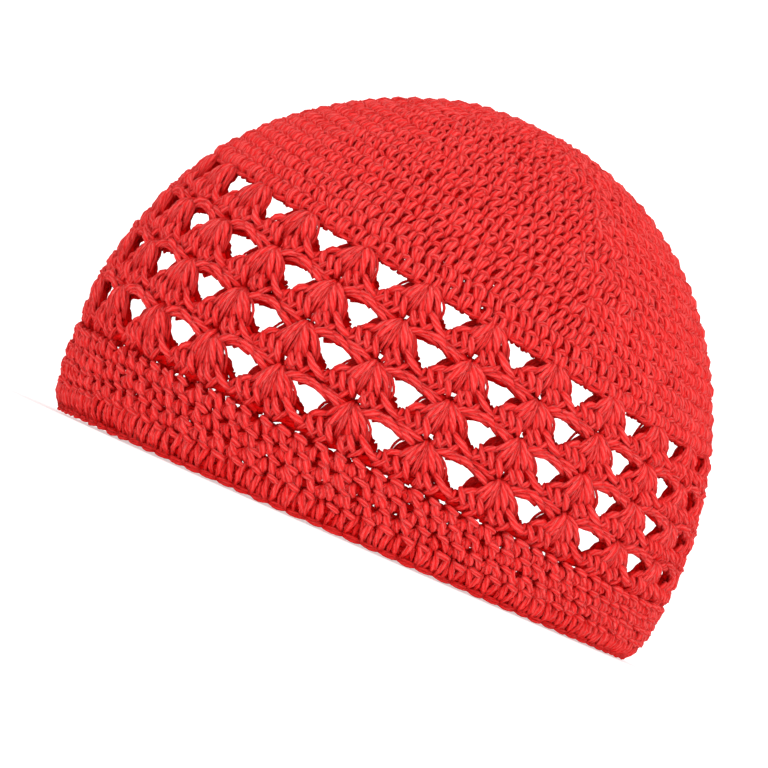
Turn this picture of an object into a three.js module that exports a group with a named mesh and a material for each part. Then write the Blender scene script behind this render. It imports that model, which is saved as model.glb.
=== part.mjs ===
// A crocheted skull cap in thick cotton yarn, worked in the round from the top of the crown down
// to the edge. Millimetres, +Z up. The cap stands on its edge at z = 0, with the front of the
// head towards -X.
//
// Four pieces follow each other down the cap, each a wall as thick as the crocheted cloth: the
// close crown, the pierced lace band, the close brim band and the braided edge round.

import * as THREE from 'three';

// The cloth
const WALL = 3.4;               // thickness of the crocheted cloth
const GAP = 0.3;                // between one piece and the next
const COTTON = '#dc2a2e';       // coral red yarn
const COTTON_ROUGHNESS = 0.92;

// Depths of the pieces, measured down the cloth from the top
const CROWN_DEPTH = 109.6;      // 24 rounds of single crochet
const LACE_ROW_DEPTH = 14.4;    // one row of shells
const BRIM_DEPTH = 19.2;        // four rounds of single crochet

// The lace: shells stand in columns, with one opening between each two columns in each row
const SHELL_COLUMNS = 24;
const LACE_ROWS = [
  { openingWidth: 14.5, openingDepth: 8.4, openingDrop: 5.4 },
  { openingWidth: 11.5, openingDepth: 8.2, openingDrop: 5.8 },
  { openingWidth: 11.5, openingDepth: 8.2, openingDrop: 5.8 },
  { openingWidth: 12.5, openingDepth: 8.6, openingDrop: 6.2 },
];
const OPENING_POINTS = 9;
const CORNER_SHARPNESS = 0.24;  // 0 is an ellipse, 0.5 a triangle with sharp corners

// The head is an oval, and each section of the cap is one too. A section lies at height above
// the edge, its middle shifted towards the back, and reaches halfLength to the front and back.
const SECTIONS = [
  { name: 'edge',      height: 0,     middle: 0,    halfLength: 93.4 },
  { name: 'brim',      height: 10,    middle: 0,    halfLength: 95.9 },
  { name: 'lace_foot', height: 21.5,  middle: 0,    halfLength: 97.1 },
  { name: 'fullest',   height: 35,    middle: 0.2,  halfLength: 97.7 },
  { name: 'lace_mid',  height: 48.5,  middle: 1.3,  halfLength: 96.3 },
  { name: 'lace_high', height: 63,    middle: 2.9,  halfLength: 93 },
  { name: 'lace_top',  height: 78,    middle: 5.6,  halfLength: 87.3 },
  { name: 'temple',    height: 90,    middle: 7.4,  halfLength: 80.2 },
  { name: 'shoulder',  height: 101,   middle: 9.3,  halfLength: 71.9 },
  { name: 'crown_low', height: 110.5, middle: 11.2, halfLength: 62.5 },
  { name: 'crown_mid', height: 118.5, middle: 12.7, halfLength: 52.2 },
  { name: 'crown_up',  height: 125.5, middle: 13.6, halfLength: 40.2 },
  { name: 'crown_top', height: 131,   middle: 14.4, halfLength: 26.8 },
  { name: 'top',       height: 134.7, middle: 14.7, halfLength: 0 },
];
const WIDTH_TO_LENGTH = 0.878;  // the head is narrower than it is long
const LEAN = 8;                 // degrees that a crown round leans back, front side up
const LEAN_HEIGHT = 80;         // below this the rounds level out towards the edge

// Facets
const CROWN_SIDES = 60;
const CROWN_RINGS = 12;
const BRIM_SIDES = 72;
const BRIM_RINGS = 4;
const EDGE_RINGS = 2;
const CELL_SIDES = 4;           // facets of the lace wall across one column
const CELL_RINGS = 2;           // and down one row

// The meridian runs from the top down to the edge. Its x is the half length, y the shift of the
// middle and z the height.
const meridian = new THREE.CatmullRomCurve3(
  SECTIONS.map(s => new THREE.Vector3(s.halfLength, s.middle, s.height)).reverse(),
  false,
  'centripetal',
);
meridian.arcLengthDivisions = 2000;
const CLOTH_DEPTH = meridian.getLength();

// The point of the outer surface at an angle round the cap and a depth down the cloth
function outerPoint(angle, depth) {
  const share = THREE.MathUtils.clamp(depth / CLOTH_DEPTH, 0, 1);
  const { x: halfLength, y: middle, z: height } = meridian.getPointAt(share);
  const lean = THREE.MathUtils.degToRad(LEAN) * Math.min(1, height / LEAN_HEIGHT);
  const along = halfLength * Math.cos(angle);
  return new THREE.Vector3(
    middle + along * Math.cos(lean),
    halfLength * WIDTH_TO_LENGTH * Math.sin(angle),
    height - along * Math.sin(lean),
  );
}

// The way out of the surface there. At the edge it is level, so that the wall stands upright.
function outward(angle, depth) {
  const step = 0.5;
  const turn = 0.01;
  const deeper = Math.max(depth, step);
  const down = outerPoint(angle, Math.min(deeper + step, CLOTH_DEPTH))
    .sub(outerPoint(angle, deeper - step));
  const round = outerPoint(angle + turn, deeper).sub(outerPoint(angle - turn, deeper));
  const normal = down.cross(round);
  if (depth >= CLOTH_DEPTH - 1e-6) {
    normal.z = 0;
  }
  return normal.normalize();
}

// A point of the wall: inset 0 is the outer face and 1 the inner face
function wallPoint(angle, depth, inset) {
  if (depth <= 0) {
    const top = SECTIONS.at(-1);
    const lean = THREE.MathUtils.degToRad(LEAN);
    return new THREE.Vector3(top.middle, 0, top.height)
      .addScaledVector(new THREE.Vector3(Math.sin(lean), 0, Math.cos(lean)), -inset * WALL);
  }
  return outerPoint(angle, depth).addScaledVector(outward(angle, depth), -inset * WALL);
}

// Collects points and faces, and turns them into one closed geometry
class Solid {
  constructor() {
    this.points = [];
    this.faces = [];
  }

  point(angle, depth, inset) {
    this.points.push(wallPoint(angle, depth, inset));
    return this.points.length - 1;
  }

  quad(a, b, c, d) {
    this.faces.push([a, b, c], [a, c, d]);
  }

  geometry() {
    const geometry = new THREE.BufferGeometry();
    geometry.setFromPoints(this.points);
    geometry.setIndex(this.faces.flat());
    geometry.computeVertexNormals();
    return geometry;
  }
}

// A plain ring of wall from one depth to another, open in the middle
function ringWall(startDepth, endDepth, sides, rings) {
  const solid = new Solid();
  // The outline of the wall, once round: down the outer face and back up the inner one
  const outline = [];
  for (let i = 0; i <= rings; i++) {
    outline.push([startDepth + (endDepth - startDepth) * i / rings, 0]);
  }
  for (let i = rings; i >= 0; i--) {
    outline.push([startDepth + (endDepth - startDepth) * i / rings, 1]);
  }
  const grid = [];
  for (let side = 0; side < sides; side++) {
    const angle = 2 * Math.PI * side / sides;
    grid.push(outline.map(([depth, inset]) => solid.point(angle, depth, inset)));
  }
  for (let side = 0; side < sides; side++) {
    const here = grid[side];
    const next = grid[(side + 1) % sides];
    for (let i = 0; i < outline.length; i++) {
      const j = (i + 1) % outline.length;
      solid.quad(here[i], here[j], next[j], next[i]);
    }
  }
  return solid.geometry();
}

// The crown: a cap of wall that closes at the top
function crownWall(endDepth, sides, rings) {
  const solid = new Solid();
  const faces = [0, 1].map(inset => {
    const top = solid.point(0, 0, inset);
    const loops = [];
    for (let ring = 1; ring <= rings; ring++) {
      const depth = endDepth * ring / rings;
      const loop = [];
      for (let side = 0; side < sides; side++) {
        loop.push(solid.point(2 * Math.PI * side / sides, depth, inset));
      }
      loops.push(loop);
    }
    return { top, loops };
  });
  const [outer, inner] = faces;
  for (let side = 0; side < sides; side++) {
    const next = (side + 1) % sides;
    solid.faces.push([outer.top, outer.loops[0][side], outer.loops[0][next]]);
    solid.faces.push([inner.top, inner.loops[0][next], inner.loops[0][side]]);
    for (let ring = 1; ring < rings; ring++) {
      const [a, b] = [outer.loops[ring - 1], outer.loops[ring]];
      const [c, d] = [inner.loops[ring - 1], inner.loops[ring]];
      solid.quad(a[side], b[side], b[next], a[next]);
      solid.quad(c[side], c[next], d[next], d[side]);
    }
    const [rim, hem] = [outer.loops.at(-1), inner.loops.at(-1)];
    solid.quad(rim[side], hem[side], hem[next], rim[next]);
  }
  return solid.geometry();
}

// One opening, in millimetres across and down from its middle: a triangle with rounded corners,
// its point down, between two shells that spread towards each other
function openingOutline({ openingWidth, openingDepth }) {
  const outline = [];
  for (let i = 0; i < OPENING_POINTS; i++) {
    const turn = 2 * Math.PI * i / OPENING_POINTS;
    const down = Math.cos(turn) + CORNER_SHARPNESS * Math.cos(2 * turn);
    const across = Math.sin(turn) - CORNER_SHARPNESS * Math.sin(2 * turn);
    outline.push([across * openingWidth / 2, down * openingDepth / 2]);
  }
  return outline;
}

// The lace band: each row and column is one cell of wall with its opening cut through
function laceWall(startDepth, endDepth) {
  const solid = new Solid();
  const columnAngle = 2 * Math.PI / SHELL_COLUMNS;
  const rowDepth = (endDepth - startDepth) / LACE_ROWS.length;
  const known = new Map();
  // Cells share the points of their borders, which lie on a grid round the band
  const gridPoint = (column, row, inset) => {
    const key = [(column + SHELL_COLUMNS * CELL_SIDES) % (SHELL_COLUMNS * CELL_SIDES), row, inset].join();
    if (!known.has(key)) {
      const angle = (column / CELL_SIDES - 0.5) * columnAngle;
      known.set(key, solid.point(angle, startDepth + rowDepth * row / CELL_RINGS, inset));
    }
    return known.get(key);
  };
  LACE_ROWS.forEach((row, rowNumber) => {
    const rowStart = startDepth + rowNumber * rowDepth;
    const girth = 2 * Math.PI * meridian.getPointAt(rowStart / CLOTH_DEPTH).x * (1 + WIDTH_TO_LENGTH) / 2;
    const hole = openingOutline(row).map(([across, down]) => new THREE.Vector2(
      across / girth * SHELL_COLUMNS,
      (row.openingDrop + down) / rowDepth,
    ));
    const border = [];
    for (let i = 0; i < CELL_SIDES; i++) border.push([i, 0]);
    for (let i = 0; i < CELL_RINGS; i++) border.push([CELL_SIDES, i]);
    for (let i = CELL_SIDES; i > 0; i--) border.push([i, CELL_RINGS]);
    for (let i = CELL_RINGS; i > 0; i--) border.push([0, i]);
    const frame = border.map(([i, j]) => new THREE.Vector2(i / CELL_SIDES - 0.5, j / CELL_RINGS));
    const triangles = THREE.ShapeUtils.triangulateShape(frame, [hole]);
    const flat = [...frame, ...hole];
    if (THREE.ShapeUtils.area(triangles[0].map(i => flat[i])) > 0) {
      triangles.forEach(triangle => triangle.reverse());
    }
    for (let column = 0; column < SHELL_COLUMNS; column++) {
      const layers = [0, 1].map(inset => [
        ...border.map(([i, j]) => gridPoint(column * CELL_SIDES + i, rowNumber * CELL_RINGS + j, inset)),
        ...hole.map(p => solid.point((column + p.x) * columnAngle, rowStart + p.y * rowDepth, inset)),
      ]);
      const [outer, inner] = layers;
      for (const [a, b, c] of triangles) {
        solid.faces.push([outer[a], outer[b], outer[c]]);
        solid.faces.push([inner[c], inner[b], inner[a]]);
      }
      // The wall of the opening, from the outer face to the inner one
      for (let i = 0; i < hole.length; i++) {
        const here = border.length + i;
        const next = border.length + (i + 1) % hole.length;
        solid.quad(outer[here], outer[next], inner[next], inner[here]);
      }
    }
  });
  // The upper and lower faces of the band
  const lastRow = LACE_ROWS.length * CELL_RINGS;
  for (let i = 0; i < SHELL_COLUMNS * CELL_SIDES; i++) {
    solid.quad(gridPoint(i, 0, 0), gridPoint(i + 1, 0, 0), gridPoint(i + 1, 0, 1), gridPoint(i, 0, 1));
    solid.quad(gridPoint(i, lastRow, 0), gridPoint(i, lastRow, 1), gridPoint(i + 1, lastRow, 1),
      gridPoint(i + 1, lastRow, 0));
  }
  return solid.geometry();
}

const cotton = () => new THREE.MeshStandardMaterial({
  color: COTTON,
  roughness: COTTON_ROUGHNESS,
  metalness: 0,
});

function piece(name, geometry) {
  const mesh = new THREE.Mesh(geometry, cotton());
  mesh.name = name;
  return mesh;
}

const laceStart = CROWN_DEPTH + GAP;
const laceEnd = laceStart + LACE_ROWS.length * LACE_ROW_DEPTH;
const brimStart = laceEnd + GAP;
const brimEnd = brimStart + BRIM_DEPTH;
const edgeStart = brimEnd + GAP;

const cap = new THREE.Group();
cap.add(
  piece('crown', crownWall(CROWN_DEPTH, CROWN_SIDES, CROWN_RINGS)),
  piece('lace_band', laceWall(laceStart, laceEnd)),
  piece('brim_band', ringWall(brimStart, brimEnd, BRIM_SIDES, BRIM_RINGS)),
  piece('edge_round', ringWall(edgeStart, CLOTH_DEPTH, BRIM_SIDES, EDGE_RINGS)),
);

export default cap;
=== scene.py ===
import math

import bpy
import numpy as np
from mathutils import Matrix, Vector


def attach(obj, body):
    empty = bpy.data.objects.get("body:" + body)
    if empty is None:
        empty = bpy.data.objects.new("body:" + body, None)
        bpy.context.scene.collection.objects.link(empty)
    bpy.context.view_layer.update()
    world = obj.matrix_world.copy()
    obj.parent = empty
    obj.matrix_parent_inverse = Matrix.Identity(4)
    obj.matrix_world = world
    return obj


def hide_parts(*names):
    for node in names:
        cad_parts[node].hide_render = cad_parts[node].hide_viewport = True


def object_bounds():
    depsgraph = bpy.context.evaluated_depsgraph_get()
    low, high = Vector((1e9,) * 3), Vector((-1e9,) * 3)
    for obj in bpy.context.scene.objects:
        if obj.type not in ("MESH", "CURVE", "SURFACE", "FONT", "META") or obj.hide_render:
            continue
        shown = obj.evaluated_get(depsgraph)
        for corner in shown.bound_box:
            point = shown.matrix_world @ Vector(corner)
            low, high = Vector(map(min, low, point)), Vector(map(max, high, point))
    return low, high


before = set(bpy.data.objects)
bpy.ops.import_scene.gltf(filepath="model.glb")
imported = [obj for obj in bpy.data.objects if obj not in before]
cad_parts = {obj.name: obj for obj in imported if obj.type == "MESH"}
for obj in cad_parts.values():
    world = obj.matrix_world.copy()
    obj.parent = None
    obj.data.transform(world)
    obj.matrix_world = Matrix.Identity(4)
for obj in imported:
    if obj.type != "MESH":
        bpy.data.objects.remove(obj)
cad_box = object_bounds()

MM = 0.001             # the sizes below are in millimetres, and the meshes are in metres
TURN = 2 * math.pi

# ---------------------------------------------------------------------------------------------
# The crown. The real one is thick cotton yarn in close single crochet, begun as a ring of six
# stitches at the top and worked down in rounds that grow until the oval of the head is reached.
# Each stitch shows two plump legs that part like a roof, under one arched front loop.

# The form that the cloth takes: ovals from the edge up to the top, in millimetres. Each lies at
# its height, with its middle shifted to the back, and reaches half_length to front and back.
ovals = [
    dict(height=0, middle=0, half_length=93.4),
    dict(height=10, middle=0, half_length=95.9),
    dict(height=21.5, middle=0, half_length=97.1),
    dict(height=35, middle=0.2, half_length=97.7),
    dict(height=48.5, middle=1.3, half_length=96.3),
    dict(height=63, middle=2.9, half_length=93),
    dict(height=78, middle=5.6, half_length=87.3),
    dict(height=90, middle=7.4, half_length=80.2),
    dict(height=101, middle=9.3, half_length=71.9),
    dict(height=110.5, middle=11.2, half_length=62.5),
    dict(height=118.5, middle=12.7, half_length=52.2),
    dict(height=125.5, middle=13.6, half_length=40.2),
    dict(height=131, middle=14.4, half_length=26.8),
    dict(height=134.7, middle=14.7, half_length=0),
]
width_to_length = (cad_box[1][1] - cad_box[0][1]) / (cad_box[1][0] - cad_box[0][0])
lean_deg = 8          # the rounds of the crown lean back, front side up
lean_height = 80      # and level out below this towards the edge
cloth = 3.4           # thickness of the cloth


def smooth_rows(rows, steps):
    """A smooth line through rows of numbers, spaced by the root of their distance."""
    rows = np.array(rows, float)
    gaps = np.sqrt(np.linalg.norm(np.diff(rows, axis=0), axis=1))
    at = np.concatenate([[0], np.cumsum(gaps)])
    slope = np.gradient(rows, at, axis=0)
    where = np.linspace(0, at[-1], steps)
    i = np.clip(np.searchsorted(at, where, "right") - 1, 0, len(at) - 2)
    span = (at[i + 1] - at[i])[:, None]
    t = ((where - at[i])[:, None]) / span
    return (
        (2 * t**3 - 3 * t**2 + 1) * rows[i]
        + (t**3 - 2 * t**2 + t) * span * slope[i]
        + (3 * t**2 - 2 * t**3) * rows[i + 1]
        + (t**3 - t**2) * span * slope[i + 1]
    )


# Down the cloth from the top: the mirrored oval past the top keeps the crown round there
half = [[o["half_length"], o["middle"], o["height"]] for o in reversed(ovals)]
beyond = [[-half[1][0], half[1][1], half[1][2]]]
line = smooth_rows(beyond + half, 4001)
line = line[np.argmax(line[:, 0] >= 0):]
line_depth = np.concatenate([[0], np.cumsum(np.linalg.norm(np.diff(line, axis=0), axis=1))])
cloth_depth = line_depth[-1]


def outer_face(angle, depth):
    """Points of the cloth's outer face, at an angle round the cap and a depth from its top."""
    depth = np.clip(depth, 0, cloth_depth)
    half_length = np.interp(depth, line_depth, line[:, 0])
    middle = np.interp(depth, line_depth, line[:, 1])
    height = np.interp(depth, line_depth, line[:, 2])
    lean = math.radians(lean_deg) * np.minimum(1, height / lean_height)
    along = half_length * np.cos(angle)
    return np.stack([
        middle + along * np.cos(lean),
        half_length * width_to_length * np.sin(angle),
        height - along * np.sin(lean),
    ], axis=-1)


def outward(angle, depth):
    """The way out of the cloth, square to its face."""
    depth = np.clip(depth, 0.4, cloth_depth - 0.4)
    down = outer_face(angle, depth + 0.3) - outer_face(angle, depth - 0.3)
    across = outer_face(angle + 0.004, depth) - outer_face(angle - 0.004, depth)
    square = np.cross(down, across)
    return square / np.linalg.norm(square, axis=-1, keepdims=True)


def in_cloth(spots):
    """Spots of (angle, depth, out) as points. out is measured from the middle of the cloth."""
    angle, depth, out = spots[..., 0], spots[..., 1], spots[..., 2]
    way = outward(angle, depth)
    return outer_face(angle, depth) + way * (out - cloth / 2)[..., None], way


def round_spline(count, rings):
    """Weights that turn count control points into rings points of a smooth curve."""
    weights = np.zeros((rings, count))
    for row, at in enumerate(np.linspace(0, count - 1, rings)):
        i = min(int(at), count - 2)
        t = at - i
        for offset, w in (
            (-1, (-t**3 + 2 * t**2 - t) / 2),
            (0, (3 * t**3 - 5 * t**2 + 2) / 2),
            (1, (-3 * t**3 + 4 * t**2 + t) / 2),
            (2, (t**3 - t**2) / 2),
        ):
            weights[row, min(max(i + offset, 0), count - 1)] += w
    return weights


class Yarnwork:
    """A pile of strands of yarn, made into one mesh. Every strand is a closed, twisted tube."""

    sides = 6           # three plies, each with a crest and a groove
    crest = 1.08        # how far a crest is from the middle, for a strand of radius 1
    twist = 0.30        # radians for each millimetre
    groove = 0.84       # and how far a groove is

    def __init__(self, seed):
        self.random = np.random.default_rng(seed)
        self.points, self.maps, self.tones, self.lifts, self.sizes = [], [], [], [], []

    def add(self, spots, rings, thick, plump=0.42, flat=0.86, spread=0.06, tone=0.0):
        """Lays a strand along each row of control spots. plump is how much its ends thin, flat how
        high it stands for its width, spread how uneven its thickness is, tone its shade."""
        spots = np.asarray(spots, float)
        count = len(spots)
        spots = np.einsum("kc,scd->skd", round_spline(spots.shape[1], rings), spots)
        path, way = in_cloth(spots)
        run = np.gradient(path, axis=1)
        run /= np.linalg.norm(run, axis=-1, keepdims=True)
        side = np.cross(run, way)
        side /= np.maximum(np.linalg.norm(side, axis=-1, keepdims=True), 1e-6)
        rise = np.cross(side, run)
        t = np.linspace(0, 1, rings)
        shape = 1 - plump * (1 - np.sin(math.pi * np.clip(t, 0.03, 0.97)) ** 0.8)
        size = thick / 2 * shape[None] * (1 + spread * self.random.standard_normal((count, 1)))
        length = np.concatenate([
            np.zeros((count, 1)),
            np.cumsum(np.linalg.norm(np.diff(path, axis=1), axis=-1), axis=1),
        ], axis=1)
        start = self.random.uniform(0, TURN, (count, 1))
        turn = start[..., None] + self.twist * length[..., None]
        turn = turn + TURN * np.arange(self.sides) / self.sides
        lobe = np.where(np.arange(self.sides) % 2 == 0, self.crest, self.groove)
        wide = (size[..., None] * np.cos(turn) * lobe)[..., None]
        high = (size[..., None] * np.sin(turn) * lobe * flat)[..., None]
        ring = path[:, :, None] + side[:, :, None] * wide + rise[:, :, None] * high
        self.points.append(ring.reshape(count, rings * self.sides, 3))
        self.maps.append(length)
        self.tones.append(tone + self.random.uniform(-1, 1, count))
        # How far each point stands out of the cloth, which the yarn's colour uses for painted shade and
        # painted highlights
        self.lifts.append((spots[:, :, None, 2] + high[..., 0]).reshape(-1))
        self.sizes.append(rings)

    def mesh(self, name):
        """The pile as one smooth mesh, in metres, with the yarn's own coordinates."""
        sides = self.sides
        corners, starts, around, atlas, tone = [], [], [], [], []
        first = 0
        total = sum(len(p) for p in self.points)
        grid = math.ceil(math.sqrt(total))
        number = 0
        for points, length, tones, rings in zip(self.points, self.maps, self.tones, self.sizes):
            count = len(points)
            base = first + np.arange(count)[:, None, None] * (rings * sides)
            ring = np.arange(rings - 1)[None, :, None]
            side = np.arange(sides)[None, None, :]
            here = base + ring * sides + side
            beside = base + ring * sides + (side + 1) % sides
            quads = np.stack([here, beside, beside + sides, here + sides], axis=-1)
            # Each strand has a small plot of its own in the map that finishes are baked to
            plot = number + np.arange(count)
            px, py = (plot % grid)[:, None, None], (plot // grid)[:, None, None]
            u0 = (px + 0.06 + 0.88 * side / sides + 0 * ring) / grid
            u1 = (px + 0.06 + 0.88 * (side + 1) / sides + 0 * ring) / grid
            v0 = (py + 0.12 + 0.76 * ring / (rings - 1) + 0 * side) / grid
            v1 = (py + 0.12 + 0.76 * (ring + 1) / (rings - 1) + 0 * side) / grid
            quad_atlas = np.stack([
                np.stack([u0, v0], -1), np.stack([u1, v0], -1),
                np.stack([u1, v1], -1), np.stack([u0, v1], -1),
            ], axis=-2)
            low = np.broadcast_to(length[:, :-1, None], here.shape) / 10
            high = np.broadcast_to(length[:, 1:, None], here.shape) / 10
            s0 = np.broadcast_to(side / sides, here.shape)
            s1 = s0 + 1 / sides
            quad_around = np.stack([
                np.stack([s0, low], -1), np.stack([s1, low], -1),
                np.stack([s1, high], -1), np.stack([s0, high], -1),
            ], axis=-2)
            for end in (0, rings - 1):
                order = np.arange(sides) if end else np.arange(sides)[::-1]
                cap = base[:, 0] + end * sides + order[None]
                corners.append(cap.reshape(-1))
                starts.append(np.full(count, sides))
                angle = TURN * order / sides
                cu = (px[:, 0] + 0.5 + 0.3 * np.cos(angle)[None]) / grid
                cv = (py[:, 0] + (0.95 if end else 0.05) + 0.035 * np.sin(angle)[None]) / grid
                atlas.append(np.stack([cu, cv], -1).reshape(-1, 2))
                ca = np.broadcast_to(order / sides, cap.shape)
                cl = np.broadcast_to(length[:, end, None] / 10, cap.shape)
                around.append(np.stack([ca, cl], -1).reshape(-1, 2))
            corners.append(quads.reshape(-1))
            starts.append(np.full(quads.size // 4, 4))
            atlas.append(quad_atlas.reshape(-1, 2))
            around.append(quad_around.reshape(-1, 2))
            tone.append(np.repeat(tones, rings * sides))
            first += count * rings * sides
            number += count
        points = np.concatenate([p.reshape(-1, 3) for p in self.points]) * MM
        corners = np.concatenate(corners)
        totals = np.concatenate(starts)
        mesh = bpy.data.meshes.new(name)
        mesh.vertices.add(len(points))
        mesh.vertices.foreach_set("co", points.astype(np.float32).ravel())
        mesh.loops.add(len(corners))
        mesh.loops.foreach_set("vertex_index", corners.astype(np.int32))
        mesh.polygons.add(len(totals))
        loop_start = np.concatenate([[0], np.cumsum(totals)[:-1]])
        mesh.polygons.foreach_set("loop_start", loop_start.astype(np.int32))
        mesh.update(calc_edges=True)
        mesh.polygons.foreach_set("use_smooth", np.ones(len(totals), bool))
        for layer, values in (("yarn", around), ("OFBake", atlas)):
            uv = mesh.uv_layers.new(name=layer)
            uv.data.foreach_set("uv", np.concatenate(values).astype(np.float32).ravel())
        # tone is a random tone of the dye for each strand; lift carries the heights for the painted
        # shade and painted highlights
        for layer, values in (("tone", tone), ("lift", self.lifts)):
            shade = mesh.attributes.new(layer, "FLOAT", "POINT")
            shade.data.foreach_set("value", np.concatenate(values).astype(np.float32))
        mesh.validate()
        return mesh


def colour(hex_code):
    """An sRGB hex colour as Blender's linear one."""
    parts = [int(hex_code[i:i + 2], 16) / 255 for i in (1, 3, 5)]
    return [p / 12.92 if p <= 0.04045 else ((p + 0.055) / 1.055) ** 2.4 for p in parts] + [1]


def node(tree, kind, settings=None, links=None):
    """Adds a node, sets its values or its inputs' values, and joins its inputs to outputs."""
    made = tree.nodes.new(kind)
    for key, value in (settings or {}).items():
        if isinstance(key, int) or key in made.inputs:
            made.inputs[key].default_value = value
        else:
            setattr(made, key, value)
    for key, source in (links or {}).items():
        tree.links.new(source, made.inputs[key])
    return made


# Soft cotton yarn, dyed coral red and loosely plied. The dye is even, and light passes a little way into
# the fibres. Its colour has painted shade, a deeper red in the ply grooves and low in the cloth, and
# painted highlights, fine pale lines on the top plies.
def cotton_yarn():
    made = bpy.data.materials.new("cotton_yarn")
    made.use_nodes = True
    tree = made.node_tree
    tree.nodes.clear()
    yarn_map = node(tree, "ShaderNodeUVMap", {"uv_map": "yarn"})
    split = node(tree, "ShaderNodeSeparateXYZ", links={0: yarn_map.outputs[0]})
    around, along = split.outputs[0], split.outputs[1]
    tone = node(tree, "ShaderNodeAttribute", {"attribute_name": "tone"})

    def crests(number, slant):
        """Rounded crests that run along the strand, with narrow grooves between them."""
        turned = node(tree, "ShaderNodeMath", {"operation": "MULTIPLY", 1: math.pi * number},
                      {0: around})
        slid = node(tree, "ShaderNodeMath", {"operation": "MULTIPLY_ADD", 1: slant},
                    {0: along, 2: turned.outputs[0]})
        wave = node(tree, "ShaderNodeMath", {"operation": "COSINE"}, {0: slid.outputs[0]})
        return node(tree, "ShaderNodeMath", {"operation": "ABSOLUTE"}, {0: wave.outputs[0]})

    plies = crests(5, 0)
    threads = crests(15, 9)
    # Fibres lie along the strand, so the noise is drawn out along it
    stretch = node(tree, "ShaderNodeMath", {"operation": "MULTIPLY", 1: 9}, {0: around})
    pull = node(tree, "ShaderNodeMath", {"operation": "MULTIPLY", 1: 6}, {0: along})
    apart = node(tree, "ShaderNodeMath", {"operation": "MULTIPLY", 1: 37}, {0: tone.outputs[2]})
    fibre_at = node(tree, "ShaderNodeCombineXYZ", links={
        0: stretch.outputs[0], 1: pull.outputs[0], 2: apart.outputs[0],
    })
    fibre = node(tree, "ShaderNodeTexNoise", {"Scale": 1.6, "Detail": 3, "Roughness": 0.6},
                 {"Vector": fibre_at.outputs[0]})
    fine = node(tree, "ShaderNodeMath", {"operation": "MULTIPLY_ADD", 1: 0.45},
                {0: threads.outputs[0], 2: fibre.outputs[0]})
    relief = node(tree, "ShaderNodeMath", {"operation": "MULTIPLY_ADD", 1: 1.1},
                  {0: plies.outputs[0], 2: fine.outputs[0]})
    bump = node(tree, "ShaderNodeBump", {"Strength": 1.0, "Distance": 0.32 * MM},
                {"Height": relief.outputs[0]})
    # Painted shade: deep red in the grooves and low in the cloth, lighter on the crests that stand proud
    depth = node(tree, "ShaderNodeMapRange", {1: 0.2, 2: 1.9, 3: 0, 4: 1},
                 {0: relief.outputs[0]})
    lift = node(tree, "ShaderNodeAttribute", {"attribute_name": "lift"})
    painted_shade_by_lift = node(tree, "ShaderNodeMapRange", {1: -0.1, 2: 2.5, 3: 0, 4: 1}, {0: lift.outputs[2]})
    # light is the share of the lighter red: painted shade from the ply relief and from how far the
    # strand stands out of the cloth
    light = node(tree, "ShaderNodeMath", {"operation": "MULTIPLY"},
                 {0: depth.outputs[0], 1: painted_shade_by_lift.outputs[0]})
    # Both reds are the one dye: the deeper one is its painted shade
    painted_shade_reds = {"data_type": "RGBA", 6: colour("#f20808"), 7: colour("#ff4847")}
    base = node(tree, "ShaderNodeMix", painted_shade_reds, {0: light.outputs[0]})
    # Painted highlights: the top plies are edged with fine pale lines
    crest = node(tree, "ShaderNodeMapRange", {1: 1.65, 2: 2.2, 3: 0, 4: 0.5}, {0: relief.outputs[0]})
    # proud keeps the painted highlight to strands that stand well out of the cloth
    proud = node(tree, "ShaderNodeMapRange", {1: 0.9, 2: 2.6, 3: 0, 4: 1}, {0: lift.outputs[2]})
    painted_highlight = node(tree, "ShaderNodeMath", {"operation": "MULTIPLY"},
                 {0: crest.outputs[0], 1: proud.outputs[0]})
    highlighted_red = node(tree, "ShaderNodeMix", {"data_type": "RGBA", 7: colour("#ff8580")},
                 {0: painted_highlight.outputs[0], 6: base.outputs[2]})
    shift = node(tree, "ShaderNodeMapRange", {1: -1, 2: 1, 3: 0.94, 4: 1.01},
                 {0: tone.outputs[2]})
    tint = node(tree, "ShaderNodeHueSaturation", links={4: highlighted_red.outputs[2], 2: shift.outputs[0]})
    shader = node(tree, "ShaderNodeBsdfPrincipled", {
        "Roughness": 0.85, "IOR": 1.45, "Specular IOR Level": 0.04,
        "Subsurface Weight": 0.35, "Subsurface Radius": (1.0, 0.12, 0.1),
        "Subsurface Scale": 1.5 * MM,
        "Sheen Weight": 0.02, "Sheen Roughness": 0.5, "Sheen Tint": colour("#ff9088"),
    }, {"Base Color": tint.outputs[0], "Normal": bump.outputs[0]})
    node(tree, "ShaderNodeOutputMaterial", links={0: shader.outputs[0]})
    return made


yarn = cotton_yarn()


def piece(name, work, cad_node):
    """Turns a pile of strands into one piece that stands for its CAD node."""
    made = bpy.data.objects.new(name, work.mesh(name))
    bpy.context.scene.collection.objects.link(made)
    made.data.materials.append(yarn)
    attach(made, "root")
    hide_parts(cad_node)
    return made


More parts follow.
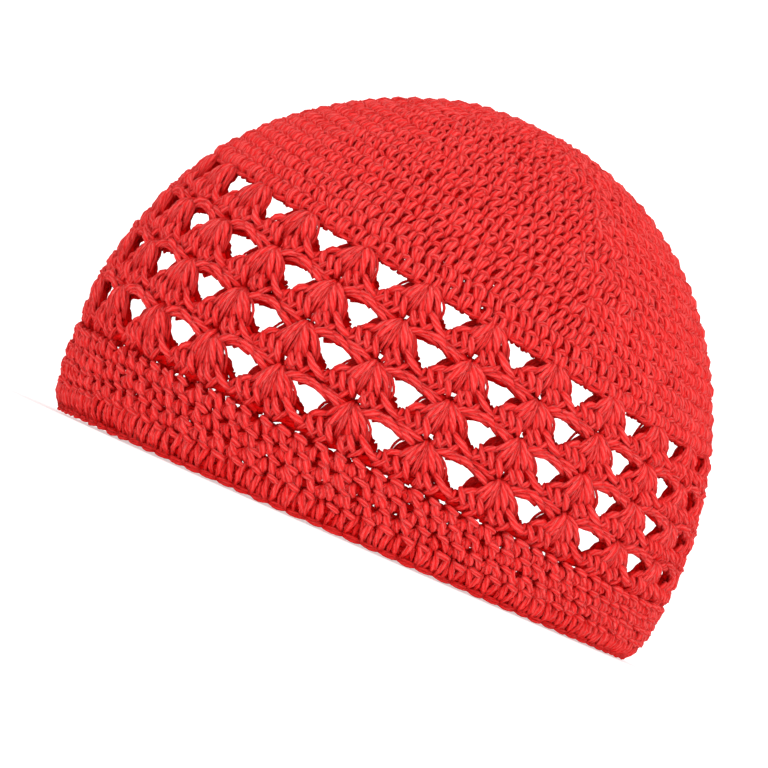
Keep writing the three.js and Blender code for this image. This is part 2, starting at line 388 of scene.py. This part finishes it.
# One stitch of single crochet. Its strands come out of the hole above it and end below the loop
# at its own foot. For each strand: how thick it is, how much its ends thin, how flat it lies, then
# its points, each as its share of the way from hole to foot, across, down (both in stitches), out.
crown_legs = [
    (2.5, 0.26, 0.86, [(0.3, -0.15, -0.06, -0.7), (0.35, -0.19, 0.12, 1.1), (0.5, -0.23, 0.38, 1.8),
                       (0.75, -0.27, 0.68, 1.9), (1.0, -0.31, 0.98, 1.0), (1.0, -0.33, 1.16, -0.6)]),
    (2.3, 0.26, 0.86, [(0.3, 0.14, -0.06, -0.7), (0.35, 0.19, 0.12, 1.0), (0.5, 0.25, 0.38, 1.7),
                       (0.75, 0.30, 0.68, 1.8), (1.0, 0.34, 0.98, 0.9), (1.0, 0.36, 1.16, -0.7)]),
]
crown_loop = [
    (1.9, 0.2, 0.86, [(1.0, -0.36, 1.26, 0.0), (1.0, -0.24, 1.12, 1.2), (1.0, -0.02, 1.03, 1.8),
                      (1.0, 0.20, 1.08, 1.5), (1.0, 0.33, 1.22, 0.1)]),
]
crown_back = [
    (3.1, 0.15, 0.7, [(1.0, -0.58, 0.44, -0.4), (1.0, -0.25, 0.36, -0.7), (1.0, 0.25, 0.42, -0.7),
                      (1.0, 0.58, 0.36, -0.4)]),
    (3.1, 0.15, 0.7, [(1.0, -0.58, 0.86, -0.4), (1.0, -0.25, 0.80, -0.7), (1.0, 0.25, 0.86, -0.7),
                      (1.0, 0.58, 0.80, -0.4)]),
]


def stitch_round(work, strands, root, foot, width, depth, height, thin=1.0, part=0.0, loose=1.0):
    """One round of stitches. root is the angle of each hole and foot that of each foot. thin
    scales the yarn, part pushes the strands away from the hole, loose is how uneven they are."""
    count = len(root)
    shift = work.random.normal(0, 0.045 * loose, count) * width
    drop = work.random.normal(0, 0.16 * loose, count)
    lift = work.random.normal(0, 0.10 * loose, count)
    for thick, plump, flat, rows in strands:
        spots = np.empty((count, len(rows), 3))
        for i, (share, across, down, out) in enumerate(rows):
            stray = work.random.normal(0, 0.025 * loose, count)
            across = across + math.copysign(part * max(0, 1 - 1.5 * down), across)
            spots[:, i, 0] = root + (foot - root) * share + (across + stray) * width + shift
            spots[:, i, 1] = depth + down * height + drop
            spots[:, i, 2] = out + lift
        work.add(spots, len(rows) + 1, thick * thin, plump, flat)


crown_rounds = 24
top_rounds, upper_rounds = 13, 19             # the crown is laid in three piles, parted here
slack_rounds = 4                              # the last rounds let small points of light through
stitches_round = 96
crown_stitch = 5.1
shells = 24
lace_rows = 4
crown_depth = 109.9                           # down the cloth to the lace
round_height = crown_depth / crown_rounds


def girth(depth):
    half_length = np.interp(depth, line_depth, line[:, 0])
    return math.pi * half_length * (1 + width_to_length)


# The rounds grow by six at first, and later only as much as the girth does
counts = []
for number in range(1, crown_rounds + 1):
    fit = round(girth((number - 0.2) * round_height) / crown_stitch)
    counts.append(min(6 * number, fit, stitches_round))

# The phase of each round: it starts half a stitch on from the one above. All are then turned so
# that a hole of the last one lies over each shell.
phases = [0.0]
for count in counts[:-1]:
    phases.append(phases[-1] + TURN * 0.5 / count)
shell_phase = TURN * 0.5 / shells
turned = shell_phase - (phases[-1] + TURN * 0.5 / counts[-1] + TURN * 0.5 / counts[-1])
phases = [phase + turned for phase in phases]

crown_piles = [Yarnwork(11), Yarnwork(12), Yarnwork(13)]
for number, (count, phase) in enumerate(zip(counts, phases)):
    order = np.arange(count)
    foot = phase + TURN * (order + 0.5) / count
    if number:
        above = counts[number - 1]
        parent = np.floor((order + 0.5) * above / count)
        root = phases[number - 1] + TURN * (parent + 1) / above
    else:
        root = foot
    work = crown_piles[0 if number < top_rounds else 1 if number < upper_rounds else 2]
    slack = number >= crown_rounds - slack_rounds
    place = (root, foot, TURN / count, number * round_height, round_height)
    stitch_round(work, crown_legs, *place, part=0.06 if slack else 0, loose=1.3)
    if number < crown_rounds - 1:
        stitch_round(work, crown_loop, *place, loose=1.3)
    stitch_round(work, crown_back, *place, thin=0.62 if slack else 1)

piece("crown_top_rounds", crown_piles[0], "crown")
piece("crown_middle_rounds", crown_piles[1], "crown")
piece("crown_lower_rounds", crown_piles[2], "crown")

# ---------------------------------------------------------------------------------------------
# The lace band. The real one is four rows of shells: two long stitches, a chain, and two long
# stitches, all worked into one hole, so that they spread like a fan. A braid of chain loops runs
# along the foot of each row, and between two shells the cloth is open.

lace_start = crown_depth
row_depth = 14.4
column_mm, row_mm = 24.0, 13.8                # the tables below are for a shell of this size
slimmer = 0.7                                 # the shells are drawn in by this at their sides
fuller = 1.14                                 # and their front yarn is this much plumper
rings_for = {3: 5, 4: 6, 5: 8, 6: 9}          # rings of a front strand with so many points

# The strands of one shell: how thick each is and how much its ends thin, then its points, each
# as millimetres to the right of the hole, down from it, and out.
long_stitches = [
    # left of the middle: three plump strands that spread down, and the slack turn on the outside
    (2.2, 0.55, [(-0.6, -1.2, -0.7), (-1.6, 0.6, 1.2), (-3.3, 2.4, 1.7), (-5.2, 4.5, 1.7),
                 (-7.2, 6.7, 0.9)]),
    (2.0, 0.35, [(-5.4, 4.9, 0.3), (-7.2, 5.4, 1.3), (-9.1, 6.5, 1.3), (-10.2, 8.2, 0.3)]),
    (2.5, 0.6, [(-0.5, -1.2, -0.6), (-1.1, 0.8, 1.6), (-2.6, 3.4, 2.1), (-4.2, 6.2, 1.7),
                (-5.4, 8.6, 0.4)]),
    (2.1, 0.5, [(-0.9, 1.0, -0.2), (-1.4, 3.0, 1.2), (-2.3, 5.4, 1.7), (-3.3, 8.2, 0.9)]),
    # the chain between the two pairs
    (1.3, 0.4, [(-0.2, -1.2, -0.6), (-0.35, 1.2, 1.7), (-0.8, 4.6, 2.1), (-1.1, 7.6, 1.7),
                (-1.4, 10.2, 0.4)]),
    (1.3, 0.4, [(0.3, -1.2, -0.6), (0.35, 1.0, 1.4), (0.4, 4.0, 1.8), (0.1, 7.0, 1.5),
                (-0.2, 10.0, 0.4)]),
    # right of the middle, with two slack plies that stand apart
    (2.2, 0.5, [(0.4, 0.4, -0.2), (1.1, 2.4, 1.0), (1.9, 4.8, 1.3), (2.7, 7.4, 1.1),
                (3.1, 9.4, 0.4)]),
    (2.5, 0.6, [(0.6, -1.2, -0.6), (1.4, 0.8, 1.6), (3.0, 3.2, 2.1), (4.5, 5.6, 1.7),
                (5.9, 8.0, 0.4)]),
    (2.1, 0.5, [(0.7, -1.1, -0.6), (2.0, 0.2, 1.3), (4.5, 1.8, 1.8), (6.4, 4.0, 1.7),
                (8.0, 6.8, 0.9)]),
    (0.85, 0.1, [(0.8, -1.1, -0.6), (2.6, -0.1, 1.1), (5.8, 1.3, 1.3), (8.0, 3.4, 1.2),
                 (9.0, 5.8, 1.0), (9.0, 7.8, 0.3)]),
    (0.85, 0.1, [(0.8, -1.1, -0.6), (2.4, 0.1, 1.1), (5.3, 1.7, 1.3), (7.3, 3.8, 1.2),
                 (8.3, 6.0, 1.1), (8.4, 7.8, 0.4)]),
]
# The knotty feet of the stitches: short plump turns that cross each other
knots = [
    (2.0, 0.4, [(-10.3, 6.8, 0.3), (-9.6, 8.6, 1.6), (-8.4, 10.6, 1.5), (-7.0, 12.4, 0.3)]),
    (2.1, 0.4, [(-7.6, 6.2, 0.5), (-6.9, 8.2, 1.8), (-5.8, 10.2, 1.7), (-4.4, 12.2, 0.3)]),
    (2.2, 0.4, [(-4.8, 6.2, 0.6), (-3.9, 8.2, 1.9), (-2.7, 10.2, 1.8), (-1.5, 12.0, 0.3)]),
    (1.8, 0.4, [(-8.2, 8.4, 0.3), (-9.4, 9.9, 1.2), (-10.7, 11.2, 1.2), (-12.0, 12.3, 0.2)]),
    (1.8, 0.4, [(-5.4, 8.2, 0.3), (-6.5, 10.0, 1.2), (-7.9, 11.7, 1.3), (-9.2, 13.1, 0.2)]),
    (1.8, 0.4, [(-2.6, 9.0, 0.3), (-3.7, 10.8, 1.3), (-5.1, 12.4, 1.3), (-6.7, 13.6, 0.2)]),
    (1.3, 0.3, [(-12.2, 8.7, 0.0), (-12.5, 10.0, 1.1), (-12.2, 11.8, 0.2)]),
    (1.4, 0.3, [(-10.9, 7.6, 0.0), (-11.3, 9.4, 1.2), (-11.1, 11.4, 0.2)]),
    (2.0, 0.4, [(0.9, 8.2, 0.5), (1.8, 10.0, 1.7), (3.1, 11.7, 1.6), (4.7, 13.0, 0.3)]),
    (2.1, 0.4, [(3.3, 7.2, 0.6), (4.3, 9.0, 1.8), (5.7, 10.7, 1.7), (7.4, 12.0, 0.4)]),
    (2.3, 0.4, [(5.8, 6.2, 0.6), (7.6, 7.7, 1.7), (9.6, 9.4, 1.8), (11.8, 10.6, 1.5),
                (13.6, 11.2, 0.3)]),
    (1.8, 0.4, [(2.9, 8.2, 0.3), (2.3, 9.8, 1.2), (1.6, 11.2, 1.2), (1.2, 12.4, 0.2)]),
    (1.8, 0.4, [(5.6, 8.4, 0.3), (4.9, 10.2, 1.2), (3.7, 12.0, 1.3), (2.4, 13.3, 0.2)]),
    (1.8, 0.4, [(8.9, 8.8, 0.3), (8.1, 10.4, 1.3), (6.7, 12.2, 1.3), (5.2, 13.6, 0.2)]),
]
# The chain loops along the foot of a row, from the middle of one shell to the next
foot_chain = [
    (2.1, 0.4, [(1.8, 15.0, 0.4), (4.6, 13.9, 1.7), (7.4, 12.7, 1.8), (10.2, 12.2, 0.5)]),
    (2.3, 0.4, [(7.4, 12.2, 0.4), (10.4, 12.3, 1.8), (13.6, 13.4, 1.9), (16.6, 15.2, 0.5)]),
    (1.7, 0.4, [(4.6, 14.8, 0.2), (7.4, 13.9, 1.4), (10.4, 13.5, 1.5), (13.2, 14.2, 0.3)]),
    (2.1, 0.4, [(13.2, 13.0, 0.4), (15.6, 13.7, 1.8), (18.0, 14.8, 1.8), (20.4, 16.2, 0.4)]),
    (1.9, 0.4, [(12.4, 11.8, 0.3), (15.2, 12.5, 1.6), (18.6, 13.3, 1.6), (22.4, 14.0, 0.2)]),
    (2.4, 0.2, [(9.0, 12.9, -0.5), (13.0, 13.2, -0.3), (17.4, 14.2, -0.3), (21.6, 15.2, -0.5)]),
]
# What lies behind, plump and plain
behind = [
    (3.0, 0.2, [(-0.8, 0.2, -0.5), (-3.2, 3.8, -0.4), (-5.9, 7.4, -0.4), (-9.2, 10.2, -0.5)]),
    (3.0, 0.2, [(-0.4, 0.4, -0.5), (-1.9, 4.6, -0.4), (-3.7, 8.8, -0.4), (-5.8, 12.4, -0.5)]),
    (2.8, 0.2, [(0.1, 0.4, -0.5), (0.3, 3.6, -0.4), (0.4, 7.0, -0.4), (0.2, 10.2, -0.5)]),
    (3.0, 0.2, [(0.6, 0.4, -0.5), (2.4, 4.4, -0.4), (4.3, 8.4, -0.4), (6.6, 12.0, -0.5)]),
    (2.6, 0.2, [(3.4, 2.8, -0.5), (5.6, 5.4, -0.4), (7.8, 8.2, -0.4), (10.6, 10.2, -0.5)]),
    (2.2, 0.2, [(-4.4, 4.4, -0.5), (-6.9, 6.3, -0.3), (-9.3, 7.8, -0.3), (-11.6, 9.2, -0.5)]),
    (2.4, 0.2, [(1.3, 6.0, -0.5), (2.2, 8.6, -0.4), (3.1, 11.0, -0.4), (4.0, 13.0, -0.5)]),
    (2.6, 0.2, [(-12.8, 10.4, -0.6), (-9.0, 11.4, -0.4), (-5.2, 12.7, -0.4), (-1.8, 13.7, -0.6)]),
    (2.6, 0.2, [(1.8, 13.7, -0.6), (5.2, 12.8, -0.4), (9.0, 11.5, -0.4), (12.8, 10.6, -0.6)]),
]


def lace_spots(columns, start, rows):
    """Rows of (millimetres right, millimetres down, out) at each column of one row of lace."""
    made = np.empty((len(columns), len(rows), 3))
    for i, (right, down, out) in enumerate(rows):
        drawn_in = right - slimmer * math.sin(TURN * right / column_mm)
        made[:, i, 0] = columns + drawn_in / column_mm * TURN / shells
        made[:, i, 1] = start + down * row_depth / row_mm
        made[:, i, 2] = out
    return made


def jitter(work, spots, size):
    """Moves whole strands, and each of their points a little, as hand work does. size is in
    millimetres, which round the cap is an angle, and the strands stray half as much outward."""
    reach = np.array([size * 0.0035, size, size * 0.5])
    whole = work.random.normal(0, 1, (len(spots), 1, 3)) * reach
    each = work.random.normal(0, 0.4, spots.shape) * reach
    return spots + whole + each


def shells_round(work, columns, start, last):
    """One row of shells, all round, with the chain at their feet, save for the last row."""
    layers = [long_stitches, knots, foot_chain, behind]
    if last:
        layers.remove(foot_chain)
    for strands in layers:
        for thick, plump, rows in strands:
            spots = jitter(work, lace_spots(columns, start, rows), 0.28)
            if strands is behind:
                work.add(spots, 5, thick, plump, 0.8)
            else:
                work.add(spots, rings_for[len(rows)], thick * fuller, plump, 0.8)


def chain_round(work, columns, start, links):
    """A round of slack chain loops: each link is two strands that open and close like a leaf."""
    reach = column_mm / links
    for number in range(links):
        middle = (number + 0.5 - links / 2) * reach
        for side, out in ((-1, 1.2), (1, 0.9)):
            rows = [
                (middle - 0.62 * reach, 0.0, 0.0),
                (middle - 0.30 * reach, side * 0.75, out),
                (middle + 0.05 * reach, side * 0.95, out + 0.2),
                (middle + 0.38 * reach, side * 0.55, out),
                (middle + 0.66 * reach, 0.1, 0.0),
            ]
            work.add(jitter(work, lace_spots(columns, start, rows), 0.15), 7, 1.6, 0.4)


lace_upper = Yarnwork(21)
lace_lower = Yarnwork(22)
columns = shell_phase + TURN * np.arange(shells) / shells
chain_round(lace_upper, columns, lace_start - 0.2, 4)
for row in range(lace_rows):
    work = lace_upper if row < 2 else lace_lower
    shells_round(work, columns, lace_start + row * row_depth, row == lace_rows - 1)

piece("lace_upper_rows", lace_upper, "lace_band")
piece("lace_lower_rows", lace_lower, "lace_band")

# ---------------------------------------------------------------------------------------------
# The brim band. Four rounds of single crochet, four stitches to a shell. They are firm and
# knotty, with a small round hole at the foot of each stitch.

brim_start = lace_start + lace_rows * row_depth + 0.2
brim_rounds = 4
edge_depth = 2.6                              # left for the braid at the edge
brim_height = (cloth_depth - edge_depth - brim_start) / (brim_rounds + 0.3)
brim_work = Yarnwork(31)
width = TURN / stitches_round
order = np.arange(stitches_round)
brim_legs = [
    (2.7, 0.3, 0.8, [(0.0, -0.46, -0.08, 0.2), (0.0, -0.40, 0.12, 1.5), (0.0, -0.30, 0.42, 1.9),
                     (0.0, -0.20, 0.72, 1.7), (0.0, -0.10, 1.02, 0.3)]),
    (2.5, 0.3, 0.8, [(0.0, 0.20, 0.14, -0.6), (0.0, 0.27, 0.34, 0.9), (0.0, 0.34, 0.58, 1.6),
                     (0.0, 0.40, 0.80, 1.3), (0.0, 0.44, 1.04, -0.3)]),
    (1.9, 0.3, 0.8, [(0.0, 0.02, 0.38, -0.5), (0.0, 0.10, 0.58, 0.9), (0.0, 0.16, 0.78, 1.2),
                     (0.0, 0.22, 1.02, 0.2)]),
    (1.7, 0.3, 0.8, [(0.0, 0.16, 0.30, -0.4), (0.0, 0.04, 0.44, 0.8), (0.0, -0.08, 0.62, 1.2),
                     (0.0, -0.20, 0.86, 0.2)]),
]
brim_loop = [
    (2.1, 0.25, 0.8, [(0.0, -0.36, 0.94, 0.4), (0.0, -0.20, 0.98, 1.9), (0.0, 0.02, 1.06, 2.3),
                      (0.0, 0.18, 1.16, 1.9), (0.0, 0.28, 1.26, 0.4)]),
]
brim_back = [
    (3.0, 0.15, 0.7, [(0.0, -0.58, 0.58, -0.6), (0.0, -0.25, 0.54, -0.8), (0.0, 0.25, 0.58, -0.8),
                      (0.0, 0.58, 0.54, -0.6)]),
]
last_legs = [
    (2.6, 0.34, 0.8, [(0.0, -0.10, -0.06, -0.7), (0.0, -0.17, 0.10, 0.8), (0.0, -0.24, 0.38, 1.6),
                      (0.0, -0.33, 0.72, 1.5), (0.0, -0.42, 1.16, 0.2)]),
    (2.6, 0.34, 0.8, [(0.0, 0.08, -0.06, -0.8), (0.0, 0.16, 0.10, 0.7), (0.0, 0.23, 0.38, 1.5),
                      (0.0, 0.32, 0.72, 1.4), (0.0, 0.42, 1.16, 0.2)]),
    (1.9, 0.34, 0.8, [(0.0, 0.0, 0.30, -0.2), (0.0, 0.01, 0.60, 0.9), (0.0, 0.02, 1.14, 0.6)]),
]
# The last row of lace counts as number -1: it only gets loops, and the yarn behind them
for number in range(-1, brim_rounds):
    last = number == brim_rounds - 1
    hole = shell_phase + (order + number / 2) * width
    tall = brim_height * (1.3 if last else 1)
    place = (hole, hole, width, brim_start + number * brim_height, tall)
    stitch_round(brim_work, crown_back if last else brim_back, *place)
    if number >= 0:
        stitch_round(brim_work, last_legs if last else brim_legs, *place, part=0.05, loose=1.8)
    if not last:
        stitch_round(brim_work, brim_loop, *place, loose=1.8)

piece("brim_rounds", brim_work, "brim_band")

# ---------------------------------------------------------------------------------------------
# The edge round. The last row of chain loops lies along the mouth of the cap as a low braid, of
# the same yarn, one loop to each stitch of the brim.

edge_work = Yarnwork(41)
edge_line = cloth_depth - 1.25
behind_line = edge_line - 0.6
for side in (-1, 1):
    middle = shell_phase + (order + 0.5) * width
    spots = np.empty((stitches_round, 5, 3))
    for i, (across, down, out) in enumerate([
        (-0.55, 0.0, -0.2), (-0.28, 0.45, 1.0), (0.08, 0.55, 1.25), (0.42, 0.25, 1.0), (0.68, 0.0, -0.2),
    ]):
        spots[:, i, 0] = middle + across * width
        spots[:, i, 1] = edge_line + side * down * 0.75
        spots[:, i, 2] = out - 0.4
    edge_work.add(jitter(edge_work, spots, 0.06), 7, 1.35, 0.4)
spots = np.empty((stitches_round, 4, 3))
for i, (across, out) in enumerate([(-0.6, -0.5), (-0.25, -1.1), (0.25, -1.1), (0.6, -0.5)]):
    spots[:, i, 0] = shell_phase + (order + across) * width
    spots[:, i, 1] = behind_line
    spots[:, i, 2] = out
edge_work.add(spots, 5, 2.8)

piece("edge_braid", edge_work, "edge_round")

# ---------------------------------------------------------------------------------------------
# The studio: a plain pale floor that sweeps up behind, soft lamps, and a long lens. The cap
# stands on its edge, and the camera is turned about its own axis.

scene = bpy.context.scene
scene.view_settings.view_transform = "Standard"

floor_mesh = bpy.data.meshes.new("studio_floor")
near, far, wide, tall, bend = -12.0, 11.0, 14.0, 9.0, 2.0
profile = [(near, 0.0), (far, 0.0)]
for i in range(1, 13):
    a = math.pi / 2 * i / 12
    profile.append((far + bend * math.sin(a), bend * (1 - math.cos(a))))
profile.append((far + bend, tall))
floor_points = [(x, y, z) for y, z in profile for x in (-wide, wide)]
floor_faces = [(2 * i, 2 * i + 1, 2 * i + 3, 2 * i + 2) for i in range(len(profile) - 1)]
floor_mesh.from_pydata(floor_points, [], floor_faces)
floor_mesh.polygons.foreach_set("use_smooth", [True] * len(floor_faces))
floor = bpy.data.objects.new("studio_floor", floor_mesh)
scene.collection.objects.link(floor)
paint = bpy.data.materials.new("pale_matt_floor")
paint.use_nodes = True
paint.node_tree.nodes["Principled BSDF"].inputs["Base Color"].default_value = colour("#cfcece")
paint.node_tree.nodes["Principled BSDF"].inputs["Roughness"].default_value = 1.0
paint.node_tree.nodes["Principled BSDF"].inputs["Emission Color"].default_value = (1, 1, 1, 1)
paint.node_tree.nodes["Principled BSDF"].inputs["Emission Strength"].default_value = 0.52
floor_mesh.materials.append(paint)

world = bpy.data.worlds.new("studio_air")
world.use_nodes = True
world.node_tree.nodes["Background"].inputs[0].default_value = (1, 1, 1, 1)
world.node_tree.nodes["Background"].inputs[1].default_value = 0.75
scene.world = world


def soft_lamp(name, turn, tilt, spread, power):
    """A wide, far softbox: turn from straight in front, tilt up from the floor, in degrees."""
    light = bpy.data.lights.new(name, "SUN")
    light.angle = math.radians(spread)
    light.energy = power
    lamp = bpy.data.objects.new(name, light)
    lamp.rotation_euler = (math.radians(90 - tilt), 0, math.radians(turn))
    scene.collection.objects.link(lamp)
    return lamp


# The front lamp is in line with the lens, so that it reaches the far inner wall through the lace
soft_lamp("key_softbox", 30, 60, 30, 1.1)
soft_lamp("front_softbox", 0, 0.4, 1.5, 0.92)


camera_data = bpy.data.cameras.new("camera")
camera = bpy.data.objects.new("camera", camera_data)
scene.collection.objects.link(camera)
scene.camera = camera
length = cad_box[1][0] - cad_box[0][0]
distance = 8.0
elevation = math.radians(0.2)
roll = math.radians(23.8)
aim = Vector((-0.032 * length, 0, 0.242 * length))
camera_data.sensor_width = 36
view_width = 1.184 * length
camera_data.lens = camera_data.sensor_width * distance / view_width
camera_data.clip_end = 50
place = aim + distance * Vector((0, -math.cos(elevation), math.sin(elevation)))
look = (aim - place).to_track_quat("-Z", "Y").to_matrix().to_4x4()
camera.matrix_world = Matrix.Translation(place) @ look @ Matrix.Rotation(roll, 4, "Z")
